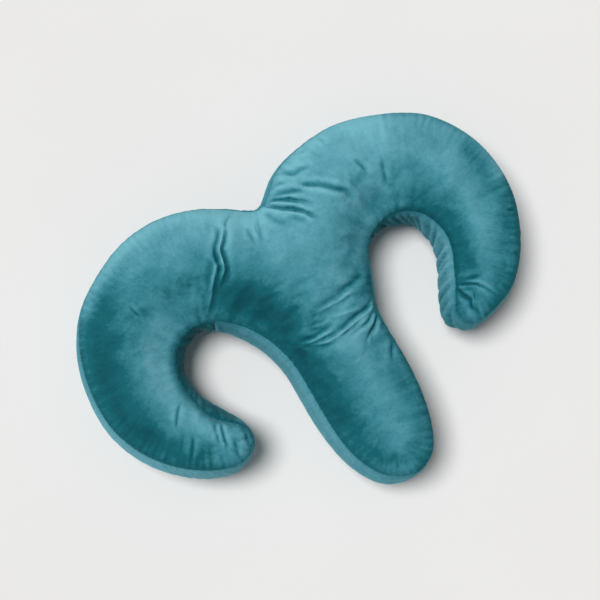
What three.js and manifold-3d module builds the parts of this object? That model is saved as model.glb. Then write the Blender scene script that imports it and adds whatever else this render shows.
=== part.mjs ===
// Ram's-horn lumbar support cushion: a velvet cover with a zip, round a fibre-filled inner case.
// Millimetres, +Z up. The cushion lies on its back: the horns curl over to either side of +Y and
// the stem points along -Y. The group is centred on the origin in X and Y and rests on Z = 0.
import * as THREE from 'three';
import { mergeVertices } from 'three/addons/utils/BufferGeometryUtils.js';
import Module from 'manifold-3d';

const wasm = await Module();
wasm.setup();

// ---- driving dimensions ----
const SEAM_LOW = 22; // height of the seam that joins the back panel to the side strip
const SEAM_HIGH = 72; // height of the seam that joins the front panel to the side strip
const SIDE_BULGE = 8; // how far the side strip swells out past its two seams
const FRONT_RISE = 26; // how far the front panel rises over its seam
const LEVEL_FROM = 56; // distance from the seam at which the front panel is level
const FLAT_FROM = 34; // distance from the seam at which the back panel lies flat
const VELVET = 1.2; // thickness of the cover's velvet
const CASE_CLOTH = 0.5; // thickness of the inner case's cloth
const PLY_GAP = 0.3; // clearance between one layer and the next
const SEAM_GAP = 0.3; // clearance between two pieces that are sewn edge to edge
const SLANT = 1.4; // horizontal inset at a seam for each millimetre of depth, as the panels slope

const ZIP_X = 8; // the zip's line across the back
const ZIP_LOW = -125; // the zip's closed end to its bottom stop, along Y
const ZIP_HIGH = 95;
const COVER_GROOVE = 7; // depth of the groove in which the zip lies, in the cover
const CASE_GROOVE = 11.7; // depth of the same groove in the inner case
const SLOT_HALF = 4.2; // half the slot between the back panels where the zip shows

// The widest line of the cushion, as seen from above, anticlockwise from the notch between the horns.
const widestLine = [
  [-4, 143], [-25, 154], [-60, 170], [-105, 178], [-150, 171], [-190, 150], [-223, 121], // left horn
  [-243, 82], [-250, 35], [-245, -8], [-223, -50], [-187, -82], [-150, -95], [-127, -91],
  [-111, -75], [-113, -53], [-126, -31], [-143, -7], [-147, 18], [-138, 40], [-118, 51], // left crook
  [-98, 48], [-80, 30], [-62, 2], [-52, -30], [-48, -82], [-38, -136], [-14, -175], // stem
  [20, -186], [52, -166], [67, -116], [69, -64], [66, -14], [73, 22], [90, 54],
  [112, 65], [140, 53], [151, 28], [146, 3], [132, -29], [126, -52], [138, -67], // right crook
  [166, -71], [206, -51], [235, -12], [249, 32], [247, 78], [232, 118], [200, 156], // right horn
  [156, 177], [108, 187], [66, 181], [28, 165], [8, 149],
];
const SAMPLES_PER_POINT = 2;
const CROOK_JOIN = [-98, 48]; // where the side strip's two lengths are joined, in the left crook
const OUTER_JOIN = [235, -12]; // and on the outer side of the right horn

const teal = { color: 0x4c8c9b, roughness: 0.85, metalness: 0 };
const zipTeal = { color: 0x2f6d7b, roughness: 0.6, metalness: 0 };
const metal = { color: 0x8d9295, roughness: 0.35, metalness: 1 };
const calico = { color: 0xece8dc, roughness: 0.9, metalness: 0 };
const white = { color: 0xf7f7f4, roughness: 0.95, metalness: 0 };

// ---- plan geometry ----
function sampleOutline() {
  const knots = widestLine.map(([x, y]) => new THREE.Vector3(x, y, 0));
  const curve = new THREE.CatmullRomCurve3(knots, true, 'centripetal');
  const count = widestLine.length * SAMPLES_PER_POINT;
  const points = [];
  for (let i = 0; i < count; i++) {
    const p = curve.getPoint(i / count);
    points.push(new THREE.Vector2(p.x, p.y));
  }
  return points;
}

function outwardNormals(points) {
  const count = points.length;
  return points.map((_, i) => {
    const before = points[(i + count - 1) % count];
    const after = points[(i + 1) % count];
    const along = after.clone().sub(before).normalize();
    return new THREE.Vector2(along.y, -along.x);
  });
}

const widest = sampleOutline();
const normals = outwardNormals(widest);
const inset = (i, distance) => widest[i].clone().addScaledVector(normals[i], -distance);
const seamLine = widest.map((_, i) => inset(i, SIDE_BULGE));

function inside(polygon, p) {
  let odd = false;
  for (let i = 0, j = polygon.length - 1; i < polygon.length; j = i++) {
    const a = polygon[i];
    const b = polygon[j];
    const crosses = (a.y > p.y) !== (b.y > p.y);
    if (crosses && p.x < ((b.x - a.x) * (p.y - a.y)) / (b.y - a.y) + a.x) odd = !odd;
  }
  return odd;
}

function distanceToSeam(p) {
  let best = Infinity;
  for (let i = 0, j = seamLine.length - 1; i < seamLine.length; j = i++) {
    const a = seamLine[j];
    const along = seamLine[i].clone().sub(a);
    const t = THREE.MathUtils.clamp(p.clone().sub(a).dot(along) / along.lengthSq(), 0, 1);
    best = Math.min(best, a.clone().addScaledVector(along, t).distanceTo(p));
  }
  return best;
}

function nearestSample(x, y) {
  const target = new THREE.Vector2(x, y);
  let best = 0;
  widest.forEach((p, i) => {
    if (p.distanceTo(target) < widest[best].distanceTo(target)) best = i;
  });
  return best;
}

// A ring of points at a distance inside the seam; where the outline is too tight it has none.
function ring(distance, step) {
  const points = [];
  for (let i = 0; i < widest.length; i += step) {
    const p = inset(i, SIDE_BULGE + distance);
    if (inside(seamLine, p) && distanceToSeam(p) > 0.93 * distance) points.push(p);
  }
  return points;
}

// A hexagonal grid over the part of the panel that is further than margin from the seam.
function innerGrid(spacing, margin) {
  const points = [];
  const tilt = 0.31;
  for (let row = -30; row <= 30; row++) {
    for (let column = -30; column <= 30; column++) {
      const p = new THREE.Vector2((column + (row % 2) / 2) * spacing, row * spacing * 0.866);
      p.rotateAround(new THREE.Vector2(), tilt);
      if (inside(seamLine, p) && distanceToSeam(p) > margin) points.push(p);
    }
  }
  return points;
}

// Points closer than spacing to one already kept are left out.
function thinned(points, spacing, kept = []) {
  const result = [];
  for (const p of points) {
    const crowded = (q) => q.distanceTo(p) < spacing;
    if (!result.some(crowded) && !kept.some(crowded)) result.push(p);
  }
  return result;
}

// Delaunay triangulation (Bowyer-Watson), keeping the triangles that lie within the polygon.
function triangulate(points, polygon) {
  const far = 5000;
  const all = [...points, new THREE.Vector2(-far, -far), new THREE.Vector2(far, -far), new THREE.Vector2(0, far)];
  const n = points.length;
  const withCircle = (a, b, c) => {
    const [p, q, r] = [all[a], all[b], all[c]];
    const d = 2 * (p.x * (q.y - r.y) + q.x * (r.y - p.y) + r.x * (p.y - q.y));
    const x = (p.lengthSq() * (q.y - r.y) + q.lengthSq() * (r.y - p.y) + r.lengthSq() * (p.y - q.y)) / d;
    const y = (p.lengthSq() * (r.x - q.x) + q.lengthSq() * (p.x - r.x) + r.lengthSq() * (q.x - p.x)) / d;
    const centre = new THREE.Vector2(x, y);
    return { corners: [a, b, c], centre, radius: centre.distanceTo(p) };
  };
  let triangles = [withCircle(n, n + 1, n + 2)];
  for (let i = 0; i < n; i++) {
    const hit = triangles.filter((t) => t.centre.distanceTo(all[i]) < t.radius);
    const edges = new Map();
    for (const { corners: [a, b, c] } of hit) {
      for (const [from, to] of [[a, b], [b, c], [c, a]]) {
        const twin = `${to},${from}`;
        if (edges.has(twin)) edges.delete(twin);
        else edges.set(`${from},${to}`, [from, to]);
      }
    }
    triangles = triangles.filter((t) => !hit.includes(t));
    for (const [from, to] of edges.values()) triangles.push(withCircle(from, to, i));
  }
  return triangles
    .map((t) => t.corners)
    .filter((corners) => corners.every((corner) => corner < n))
    .filter(([a, b, c]) => {
      const middle = all[a].clone().add(all[b]).add(all[c]).divideScalar(3);
      return inside(polygon, middle);
    });
}

// ---- the three plans: the front panel, and the back's left and right halves ----
function frontPlan() {
  const kept = thinned([...ring(8, 1), ...ring(22, 2)], 7, seamLine);
  const points = [...seamLine, ...kept, ...thinned(innerGrid(23, 33), 12, kept)];
  return { points, edge: seamLine.map((_, i) => i), triangles: triangulate(points, seamLine) };
}

const notchSample = nearestSample(-4, 143);
const stemSample = nearestSample(ZIP_X, -185);
const slotEnds = [ZIP_LOW - 6, ZIP_HIGH + 9];
const grooveEnds = [ZIP_LOW - 24, ZIP_LOW - 11, ZIP_HIGH + 11, ZIP_HIGH + 24];

// Heights along the centre-back seam, from the stem to the notch.
function axisStops() {
  const [outerLow, low, high, outerHigh] = grooveEnds;
  const stops = [-164, outerLow, low, slotEnds[0]];
  const steps = 18;
  for (let i = 1; i < steps; i++) stops.push(THREE.MathUtils.lerp(slotEnds[0], slotEnds[1], i / steps));
  return [...stops, slotEnds[1], high + 3, outerHigh];
}

function zipRows(side) {
  const points = [];
  const rows = 14;
  for (const [line, across] of [8, 16, 24].entries()) {
    const nudge = line % 2 ? 0.8 : 0;
    const [outerLow, low, high, outerHigh] = grooveEnds;
    const stops = [outerLow, low];
    for (let i = 1; i < rows; i++) stops.push(THREE.MathUtils.lerp(low, high, i / rows) + nudge);
    for (const y of [...stops, high, outerHigh]) points.push(new THREE.Vector2(ZIP_X + side * across, y));
  }
  return points.filter((p) => distanceToSeam(p) > 6);
}

function backPlan(side) {
  const count = widest.length;
  const [from, to] = side < 0 ? [notchSample, stemSample] : [stemSample, notchSample];
  const samples = [];
  for (let i = from; i !== (to + 1) % count; i = (i + 1) % count) samples.push(i);
  const stops = side < 0 ? axisStops() : axisStops().reverse();
  const axis = stops.map((y) => new THREE.Vector2(ZIP_X, y));
  const polygon = [...samples.map((i) => seamLine[i]), ...axis];
  const rows = zipRows(side);
  const clearOfZip = (p) => {
    const beside = p.y > grooveEnds[0] - 8 && p.y < grooveEnds[3] + 8;
    return side * (p.x - ZIP_X) > (beside ? 32 : 9);
  };
  const rings = [...ring(8, 1), ...ring(21, 2), ...ring(FLAT_FROM, 2)].filter(clearOfZip);
  const kept = thinned(rings, 7, [...polygon, ...rows]);
  const grid = thinned(innerGrid(26, FLAT_FROM + 6).filter(clearOfZip), 14, [...kept, ...rows]);
  const points = [...polygon, ...rows, ...kept, ...grid];
  return {
    side, points, samples, axisCount: axis.length,
    edge: polygon.map((_, i) => i), triangles: triangulate(points, polygon),
  };
}

// ---- heights ----
const smooth = (t) => THREE.MathUtils.smoothstep(t, 0, 1);
const slopeDepth = (depth, level) => depth * (1 + (SLANT - 1) * (1 - level));

function frontHeight(p, depth) {
  const level = Math.min(1, distanceToSeam(p) / LEVEL_FROM);
  return SEAM_HIGH + FRONT_RISE * (1 - (1 - level) ** 2.2) - slopeDepth(depth, level);
}

// The zip lies in a groove of a given depth, full out to one distance from its line and gone by 24.
function groove(p, depth, fullTo, clear) {
  const across = smooth((24 - Math.abs(p.x - ZIP_X)) / (24 - fullTo));
  const low = smooth((p.y - (ZIP_LOW - 24 + clear)) / 13);
  const high = smooth((ZIP_HIGH + 24 - clear - p.y) / 13);
  return depth * across * low * high;
}

function backHeight(p, depth, grooveDepth) {
  const level = Math.min(1, distanceToSeam(p) / FLAT_FROM);
  const plain = SEAM_LOW * (1 - level) ** 2 + slopeDepth(depth, level);
  if (grooveDepth === COVER_GROOVE) return plain + groove(p, grooveDepth, 8, 3);
  return plain + groove(p, grooveDepth - depth, 13, 0);
}

const DEPTHS = {
  coverOut: 0,
  coverIn: VELVET,
  caseOut: VELVET + PLY_GAP,
  caseIn: VELVET + PLY_GAP + CASE_CLOTH,
  fill: VELVET + 2 * PLY_GAP + CASE_CLOTH,
};

// The side's swelling at a fraction of its height, and one layer's inset there.
const swelling = (v) => SIDE_BULGE * (1 - (2 * v - 1) ** 2);
function sidePoint(i, v, depth) {
  const slant = SLANT - (SLANT - 1) * (swelling(v) / SIDE_BULGE);
  const p = inset(i, SIDE_BULGE - swelling(v) + slant * depth);
  return [p.x, p.y, THREE.MathUtils.lerp(SEAM_LOW, SEAM_HIGH, v)];
}

// ---- surfaces, as lists of triangles of [x, y, z] corners ----
function frontSurface(plan, depth) {
  const corners = plan.points.map((p, i) => {
    if (i < plan.edge.length) return sidePoint(i, 1, depth);
    return [p.x, p.y, frontHeight(p, depth)];
  });
  return plan.triangles.map((t) => t.map((i) => corners[i]));
}

// The halves of the back part by a slit at the zip's line: slit(y) is half its width.
function backCorners(plan, depth, grooveDepth, slit) {
  return plan.points.map((p, i) => {
    const sampleCount = plan.samples.length;
    if (i < sampleCount) {
      const corner = sidePoint(plan.samples[i], 0, depth);
      const atSeam = i === 0 || i === sampleCount - 1;
      if (atSeam) corner[0] += plan.side * slit(p.y);
      return corner;
    }
    const onAxis = i < sampleCount + plan.axisCount;
    const z = backHeight(p, depth, grooveDepth);
    return [p.x + (onAxis ? plan.side * slit(p.y) : 0), p.y, z];
  });
}

function backSurface(plan, corners) {
  return plan.triangles.map(([a, b, c]) => [corners[a], corners[c], corners[b]]);
}

// Bands of quads between rows of points.
function band(rows, closed) {
  const triangles = [];
  for (let r = 0; r + 1 < rows.length; r++) {
    const count = rows[r].length;
    for (let i = 0; i < (closed ? count : count - 1); i++) {
      const j = (i + 1) % count;
      const [a, b, c, d] = [rows[r][i], rows[r][j], rows[r + 1][j], rows[r + 1][i]];
      triangles.push([a, b, c], [a, c, d]);
    }
  }
  return triangles;
}

const reversed = (triangles) => triangles.map(([a, b, c]) => [a, c, b]);
const everySample = widest.map((_, i) => i);
const sideRow = (v, depth, samples = everySample) => samples.map((i) => sidePoint(i, v, depth));

function meshFrom(name, triangles, look) {
  const soup = new THREE.BufferGeometry();
  soup.setAttribute('position', new THREE.Float32BufferAttribute(triangles.flat(2), 3));
  const geometry = mergeVertices(soup, 1e-3);
  geometry.computeVertexNormals();
  return named(name, geometry, look);
}

function named(name, geometry, look) {
  const mesh = new THREE.Mesh(geometry, new THREE.MeshStandardMaterial(look));
  mesh.name = name;
  return mesh;
}

// ---- cover ----
const front = frontPlan();
const backLeft = backPlan(-1);
const backRight = backPlan(1);

function coverFront() {
  const outer = frontSurface(front, DEPTHS.coverOut);
  const inner = frontSurface(front, DEPTHS.coverIn);
  const rim = band([sideRow(1, DEPTHS.coverIn), sideRow(1, DEPTHS.coverOut)], true);
  return meshFrom('cover_front_panel', [...outer, ...reversed(inner), ...rim], teal);
}

const coverSlit = (y) => (y >= slotEnds[0] && y <= slotEnds[1] ? SLOT_HALF : SEAM_GAP / 2);

function coverBack(name, plan) {
  const outer = backCorners(plan, DEPTHS.coverOut, COVER_GROOVE, coverSlit);
  const inner = backCorners(plan, DEPTHS.coverIn, COVER_GROOVE, coverSlit);
  const edge = (corners) => plan.edge.map((i) => corners[i]);
  const rim = band([edge(outer), edge(inner)], true);
  const triangles = [...backSurface(plan, outer), ...reversed(backSurface(plan, inner)), ...rim];
  return meshFrom(name, triangles, teal);
}

// One length of the side strip, from one sample of the outline to another.
const SIDE_LEVELS = [0, 0.25, 0.5, 0.75, 1];
function sideStrip(name, from, to) {
  const count = widest.length;
  const samples = [];
  for (let i = from; i !== (to + 1) % count; i = (i + 1) % count) samples.push(i);
  const last = samples.length - 1;
  const edgeGap = SEAM_GAP / (SEAM_HIGH - SEAM_LOW);
  const row = (v, depth) => {
    const points = sideRow(THREE.MathUtils.clamp(v, edgeGap, 1 - edgeGap), depth, samples);
    const towards = (a, b) => a.map((value, k) => THREE.MathUtils.lerp(value, b[k], 0.02));
    points[0] = towards(points[0], points[1]);
    points[last] = towards(points[last], points[last - 1]);
    return points;
  };
  const outer = SIDE_LEVELS.map((v) => row(v, DEPTHS.coverOut));
  const inner = SIDE_LEVELS.map((v) => row(v, DEPTHS.coverIn)).reverse();
  const loop = [...outer, ...inner, outer[0]];
  const cap = (k) => {
    const ends = [];
    for (let r = 0; r + 1 < outer.length; r++) {
      const [a, b] = [outer[r][k], outer[r + 1][k]];
      const [c, d] = [inner[inner.length - 2 - r][k], inner[inner.length - 1 - r][k]];
      ends.push([a, b, c], [a, c, d]);
    }
    return ends;
  };
  return meshFrom(name, [...band(loop, false), ...cap(0), ...reversed(cap(last))], teal);
}

// ---- inner case and fill ----
const MID = 0.5;
const noSlit = () => 0;

function caseFront() {
  const gap = SEAM_GAP / 2 / (SEAM_HIGH - SEAM_LOW);
  const rows = (depth) => [MID + gap, 0.75, 1].map((v) => sideRow(v, depth));
  const outerRows = rows(DEPTHS.caseOut);
  const innerRows = rows(DEPTHS.caseIn);
  return meshFrom('insert_case_front', [
    ...frontSurface(front, DEPTHS.caseOut), ...band(outerRows, true),
    ...reversed(frontSurface(front, DEPTHS.caseIn)), ...reversed(band(innerRows, true)),
    ...band([innerRows[0], outerRows[0]], true),
  ], calico);
}

function wholeBack(depth) {
  const half = (plan) => backSurface(plan, backCorners(plan, depth, CASE_GROOVE, noSlit));
  return [...half(backLeft), ...half(backRight)];
}

function wholeBackInside() {
  const half = (plan) => {
    const corners = backCorners(plan, DEPTHS.caseIn, CASE_GROOVE + CASE_CLOTH, noSlit);
    return backSurface(plan, corners);
  };
  return [...half(backLeft), ...half(backRight)];
}

function caseBack() {
  const gap = SEAM_GAP / 2 / (SEAM_HIGH - SEAM_LOW);
  const rows = (depth) => [0, 0.25, MID - gap].map((v) => sideRow(v, depth));
  const outerRows = rows(DEPTHS.caseOut);
  const innerRows = rows(DEPTHS.caseIn);
  return meshFrom('insert_case_back', [
    ...wholeBack(DEPTHS.caseOut), ...band(outerRows, true),
    ...reversed(wholeBackInside()), ...reversed(band(innerRows, true)),
    ...band([outerRows[2], innerRows[2]], true),
  ], calico);
}

function fibreFill() {
  const half = (plan) => {
    const grooveDepth = CASE_GROOVE + CASE_CLOTH + PLY_GAP;
    return backSurface(plan, backCorners(plan, DEPTHS.fill, grooveDepth, noSlit));
  };
  const sides = band(SIDE_LEVELS.map((v) => sideRow(v, DEPTHS.fill)), true);
  return meshFrom('fibre_fill', [
    ...frontSurface(front, DEPTHS.fill), ...sides, ...half(backLeft), ...half(backRight),
  ], white);
}

// ---- zip ----
function box(sizeX, sizeY, sizeZ, x, y, z) {
  return new THREE.BoxGeometry(sizeX, sizeY, sizeZ).translate(x, y, z);
}

function toSolid(geometry) {
  const bare = new THREE.BufferGeometry();
  bare.setAttribute('position', geometry.getAttribute('position'));
  if (geometry.index) bare.setIndex(geometry.index);
  const merged = mergeVertices(bare, 1e-4);
  const vertProperties = new Float32Array(merged.getAttribute('position').array);
  const triVerts = new Uint32Array(merged.index.array);
  return new wasm.Manifold(new wasm.Mesh({ numProp: 3, vertProperties, triVerts }));
}

function fromSolid(solid) {
  const { vertProperties, triVerts } = solid.getMesh();
  const geometry = new THREE.BufferGeometry();
  geometry.setAttribute('position', new THREE.BufferAttribute(vertProperties, 3));
  geometry.setIndex(new THREE.BufferAttribute(triVerts, 1));
  return geometry;
}

const joined = (...geometries) => geometries.map(toSolid).reduce((whole, piece) => whole.add(piece));

const COIL = { inner: 0.8, outer: 3.4, bottom: 6.5, top: 8.5 };
const TAPE = { inner: 1, outer: 12, bottom: 8.9, top: 9.4 };
const zipMiddle = (ZIP_LOW + ZIP_HIGH) / 2;
const zipLength = ZIP_HIGH - ZIP_LOW;

function zipTape(name, side) {
  const x = ZIP_X + (side * (TAPE.inner + TAPE.outer)) / 2;
  const size = [TAPE.outer - TAPE.inner, zipLength + 20, TAPE.top - TAPE.bottom];
  return named(name, box(...size, x, zipMiddle, (TAPE.top + TAPE.bottom) / 2), zipTeal);
}

// The nylon coil as a strip of eight-sided section.
function zipCoil(name, side) {
  const section = new THREE.Shape();
  const x = ZIP_X + (side * (COIL.inner + COIL.outer)) / 2;
  const z = (COIL.bottom + COIL.top) / 2;
  const half = [(COIL.outer - COIL.inner) / 2, (COIL.top - COIL.bottom) / 2];
  const sides = 8;
  for (let i = 0; i < sides; i++) {
    const angle = ((i + 0.5) / sides) * 2 * Math.PI;
    const reach = 1 / Math.cos(Math.PI / sides);
    const corner = [half[0] * reach * Math.cos(angle), half[1] * reach * Math.sin(angle)];
    if (i === 0) section.moveTo(...corner);
    else section.lineTo(...corner);
  }
  section.closePath();
  const strip = new THREE.ExtrudeGeometry(section, { depth: zipLength + 5, bevelEnabled: false });
  strip.rotateX(Math.PI / 2).translate(x, ZIP_HIGH + 5, z);
  return named(name, strip, zipTeal);
}

const PLATE = { width: 8.6, length: 11 };
const OUTER_PLATE = { bottom: 4.9, top: 6 };
const INNER_PLATE = { bottom: 9.8, top: 10.8 };
const PIN_HEIGHT = 3.1; // height of the pin that the pull tab hangs on
const PIN_RADIUS = 0.6;
const EYE_RADIUS = 1.5;
const EYE_BORE = 0.95;
const EAR = { inner: 1.9, outer: 2.8, bottom: 2.1, length: 2.2 };

// Two plates either side of the chain, a web between the coils, and two ears with the pull's pin.
function zipSlider() {
  const plate = ({ bottom, top }) =>
    box(PLATE.width, PLATE.length, top - bottom, ZIP_X, ZIP_HIGH, (bottom + top) / 2);
  const web = box(0.7, 6, INNER_PLATE.bottom - OUTER_PLATE.top + 1, ZIP_X, ZIP_HIGH, 7.9);
  const ear = (side) => {
    const width = EAR.outer - EAR.inner;
    const height = OUTER_PLATE.bottom + 0.4 - EAR.bottom;
    const x = ZIP_X + (side * (EAR.inner + EAR.outer)) / 2;
    return box(width, EAR.length, height, x, ZIP_HIGH, EAR.bottom + height / 2);
  };
  const pin = new THREE.CylinderGeometry(PIN_RADIUS, PIN_RADIUS, 2 * EAR.inner + 0.8, 12);
  pin.rotateZ(Math.PI / 2).translate(ZIP_X, ZIP_HIGH, PIN_HEIGHT);
  const solid = joined(plate(OUTER_PLATE), plate(INNER_PLATE), web, ear(-1), ear(1), pin);
  return named('zip_slider', fromSolid(solid), metal);
}

// A rounded tab with a hole near its end, on an eye that turns about the slider's pin.
function zipPull() {
  const eyeHalf = EAR.inner - 0.3;
  const eye = new THREE.CylinderGeometry(EYE_RADIUS, EYE_RADIUS, 2 * eyeHalf, 16);
  eye.rotateZ(Math.PI / 2).translate(ZIP_X, ZIP_HIGH, PIN_HEIGHT);
  const outline = new THREE.Shape();
  const halfWidth = 3.4;
  const reach = 20;
  outline.moveTo(-eyeHalf, 0).lineTo(-eyeHalf, -3).lineTo(-halfWidth, -5).lineTo(-halfWidth, -reach);
  outline.absarc(0, -reach, halfWidth, Math.PI, 2 * Math.PI, false);
  outline.lineTo(halfWidth, -5).lineTo(eyeHalf, -3).lineTo(eyeHalf, 0).closePath();
  const hole = new THREE.Path();
  hole.absarc(0, -reach, 1.4, 0, 2 * Math.PI, true);
  outline.holes.push(hole);
  const tab = new THREE.ExtrudeGeometry(outline, { depth: 1, bevelEnabled: false, curveSegments: 8 });
  tab.translate(ZIP_X, ZIP_HIGH, PIN_HEIGHT - 0.5);
  const bore = new THREE.CylinderGeometry(EYE_BORE, EYE_BORE, 4 * eyeHalf, 12);
  bore.rotateZ(Math.PI / 2).translate(ZIP_X, ZIP_HIGH, PIN_HEIGHT);
  return named('zip_pull', fromSolid(joined(eye, tab).subtract(toSolid(bore))), metal);
}

function bottomStop() {
  const width = 2 * COIL.outer + 0.6;
  return named('zip_bottom_stop', box(width, 3, 2.2, ZIP_X, ZIP_LOW - 3.5, 7.4), metal);
}

function topStop(name, side) {
  const x = ZIP_X + (side * (COIL.inner + COIL.outer)) / 2;
  return named(name, box(2.4, 1.8, 2, x, ZIP_HIGH + 7.2, 7.5), metal);
}

// A blank folded label, hanging from the lower seam on the outer side of the right horn.
function careLabel() {
  const at = nearestSample(249, 32);
  const middle = inset(at, SIDE_BULGE - 1.6);
  const label = box(1, 28, 17, 0, 0, 0);
  label.rotateZ(Math.atan2(normals[at].y, normals[at].x)).translate(middle.x, middle.y, 12);
  return named('care_label', label, white);
}

// ---- assembly ----
const cushion = new THREE.Group();
const crookJoin = nearestSample(...CROOK_JOIN);
const outerJoin = nearestSample(...OUTER_JOIN);
cushion.add(
  coverFront(),
  coverBack('cover_back_left', backLeft),
  coverBack('cover_back_right', backRight),
  sideStrip('side_strip_long', outerJoin, crookJoin),
  sideStrip('side_strip_short', crookJoin, outerJoin),
  zipTape('zip_tape_left', -1),
  zipTape('zip_tape_right', 1),
  zipCoil('zip_coil_left', -1),
  zipCoil('zip_coil_right', 1),
  zipSlider(),
  zipPull(),
  bottomStop(),
  topStop('zip_top_stop_left', -1),
  topStop('zip_top_stop_right', 1),
  careLabel(),
  caseFront(),
  caseBack(),
  fibreFill(),
);

const middle = new THREE.Box3().setFromObject(cushion).getCenter(new THREE.Vector3());
cushion.position.set(-middle.x, -middle.y, 0);

export default cushion;
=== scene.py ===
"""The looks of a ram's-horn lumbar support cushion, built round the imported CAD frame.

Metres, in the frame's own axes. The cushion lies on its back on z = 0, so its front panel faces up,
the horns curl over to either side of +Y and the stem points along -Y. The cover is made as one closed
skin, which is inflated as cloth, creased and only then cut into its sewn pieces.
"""
import math

import bpy
import numpy as np
from mathutils import Matrix, Vector
from mathutils.geometry import delaunay_2d_cdt


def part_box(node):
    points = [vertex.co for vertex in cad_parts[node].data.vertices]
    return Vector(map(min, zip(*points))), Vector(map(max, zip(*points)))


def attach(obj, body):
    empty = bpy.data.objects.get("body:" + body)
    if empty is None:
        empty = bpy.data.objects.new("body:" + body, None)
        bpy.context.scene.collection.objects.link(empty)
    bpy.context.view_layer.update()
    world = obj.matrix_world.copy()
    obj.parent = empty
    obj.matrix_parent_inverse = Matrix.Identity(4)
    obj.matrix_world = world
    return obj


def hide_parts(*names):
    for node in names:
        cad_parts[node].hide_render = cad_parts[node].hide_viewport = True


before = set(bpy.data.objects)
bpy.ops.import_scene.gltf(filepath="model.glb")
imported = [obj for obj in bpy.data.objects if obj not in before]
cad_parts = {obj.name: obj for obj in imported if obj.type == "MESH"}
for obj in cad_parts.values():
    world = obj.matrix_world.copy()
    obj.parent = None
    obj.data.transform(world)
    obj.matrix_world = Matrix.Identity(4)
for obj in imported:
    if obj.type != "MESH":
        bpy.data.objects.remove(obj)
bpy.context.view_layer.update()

# -------- sizes, most of them from the frame
MM = 0.001
PANEL_LOW, PANEL_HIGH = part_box("cover_front_panel")
SEAM_HIGH = PANEL_LOW.z
SEAM_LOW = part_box("cover_back_left")[1].z
SIDE_HEIGHT = SEAM_HIGH - SEAM_LOW
FRONT_RISE = PANEL_HIGH.z - PANEL_LOW.z
SIDE_BULGE = PANEL_LOW.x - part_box("side_strip_long")[0].x
LEVEL_FROM = 56 * MM  # distance from the seam at which the front panel is level
FLAT_FROM = 34 * MM  # distance from the seam at which the back lies flat
VELVET = 1.2 * MM
CASE_CLOTH = 0.5 * MM
INWARDS = -1  # which way a cloth's thickness is laid
CASE_DEPTH = 6.0 * MM  # the inner case's outside, below the cover's outside and clear of its folds
FILL_DEPTH = 7.0 * MM
# Where the front seam leans out past the back one, or is drawn in: the heading of those edges, how far it
# leans, and how much of the side strip's swelling that takes up.
LEANS = [
    (np.array([0.3, 0.95]), 5.5 * MM, 0.3),
    (np.array([0.89, -0.45]), 5.0 * MM, 0.5),
    (np.array([-0.8, -0.6]), -3.0 * MM, -0.5),
]
# Where the sewing is uneven: a place in plan and a reach along the seam in millimetres, how far the front
# seam is let out there in millimetres, and how much the side strip's swelling gains.
PULLS = [
    ((-128, -30), 28, -14, 0.95),
    ((-112, -64), 22, -1, 0.2),
    ((-140, -93), 36, 1, 0.35),
    ((-146, 6), 32, -6.5, 1.0),
    ((-137, 42), 22, -4, 0.85),
    ((-94, 45), 20, 3.5, 0),
    ((-48, -75), 55, -1.8, 0.25),
    ((69, -70), 60, -0.5, -0.25),
    ((70, 22), 30, 4, 0.35),
    ((138, 54), 18, -1.5, -0.45),
    ((192, -60), 22, 0, 0.25),
    ((148, 20), 44, -4.2, 0.25),
    ((134, -24), 28, -4, 0.35),
    ((146, -70), 14, 6, 0),
    ((34, 168), 36, 3, 0.3),
    ((-248, 20), 110, 1.2, -0.15),
    ((-180, 156), 50, -0.5, -0.15),
]
SLANT = 1.4  # horizontal inset at a seam for each unit of depth

ZIP_X = (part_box("zip_tape_left")[1].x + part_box("zip_tape_right")[0].x) / 2
ZIP_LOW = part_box("zip_coil_left")[0].y
ZIP_HIGH = sum(corner.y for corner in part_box("zip_slider")) / 2
SLOT_LOW = ZIP_LOW - 6 * MM
SLOT_HIGH = ZIP_HIGH + 9 * MM
SLOT_HALF = 4.2 * MM
COVER_GROOVE = 7 * MM
CASE_GROOVE = 12 * MM
ZIP_EASE = 24 * MM  # how far from its line, and past its ends, the zip's groove reaches

CROOK_JOIN = np.array([-98, 47.5]) * MM  # where the side strip's two lengths are sewn together
OUTER_JOIN = np.array([235, -12.5]) * MM

# The cover's cut pieces in the order of their labels, each with the CAD piece that it replaces.
FRONT, BACK_LEFT, BACK_RIGHT, SIDE_LONG, SIDE_SHORT = range(5)
COVER_PIECES = {
    "velvet_front": "cover_front_panel",
    "velvet_back_left": "cover_back_left",
    "velvet_back_right": "cover_back_right",
    "velvet_side_long": "side_strip_long",
    "velvet_side_short": "side_strip_short",
}


# -------- curves in plan
def seam_outline():
    """The edge of the CAD front panel's outer face, in order, as points in plan."""
    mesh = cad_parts["cover_front_panel"].data
    co = np.array([v.co for v in mesh.vertices])
    first = {}
    same = [first.setdefault(tuple(np.round(c, 5)), i) for i, c in enumerate(co)]
    uses = {}
    for face in mesh.polygons:
        if face.normal.z > 0.05:
            ids = [same[i] for i in face.vertices]
            for a, b in zip(ids, ids[1:] + ids[:1]):
                uses.setdefault((min(a, b), max(a, b)), []).append((a, b))
    following = dict(pair[0] for pair in uses.values() if len(pair) == 1)
    start = next(iter(following))
    chain = [start]
    while following[chain[-1]] != start:
        chain.append(following[chain[-1]])
    return co[chain][:, :2]


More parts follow.
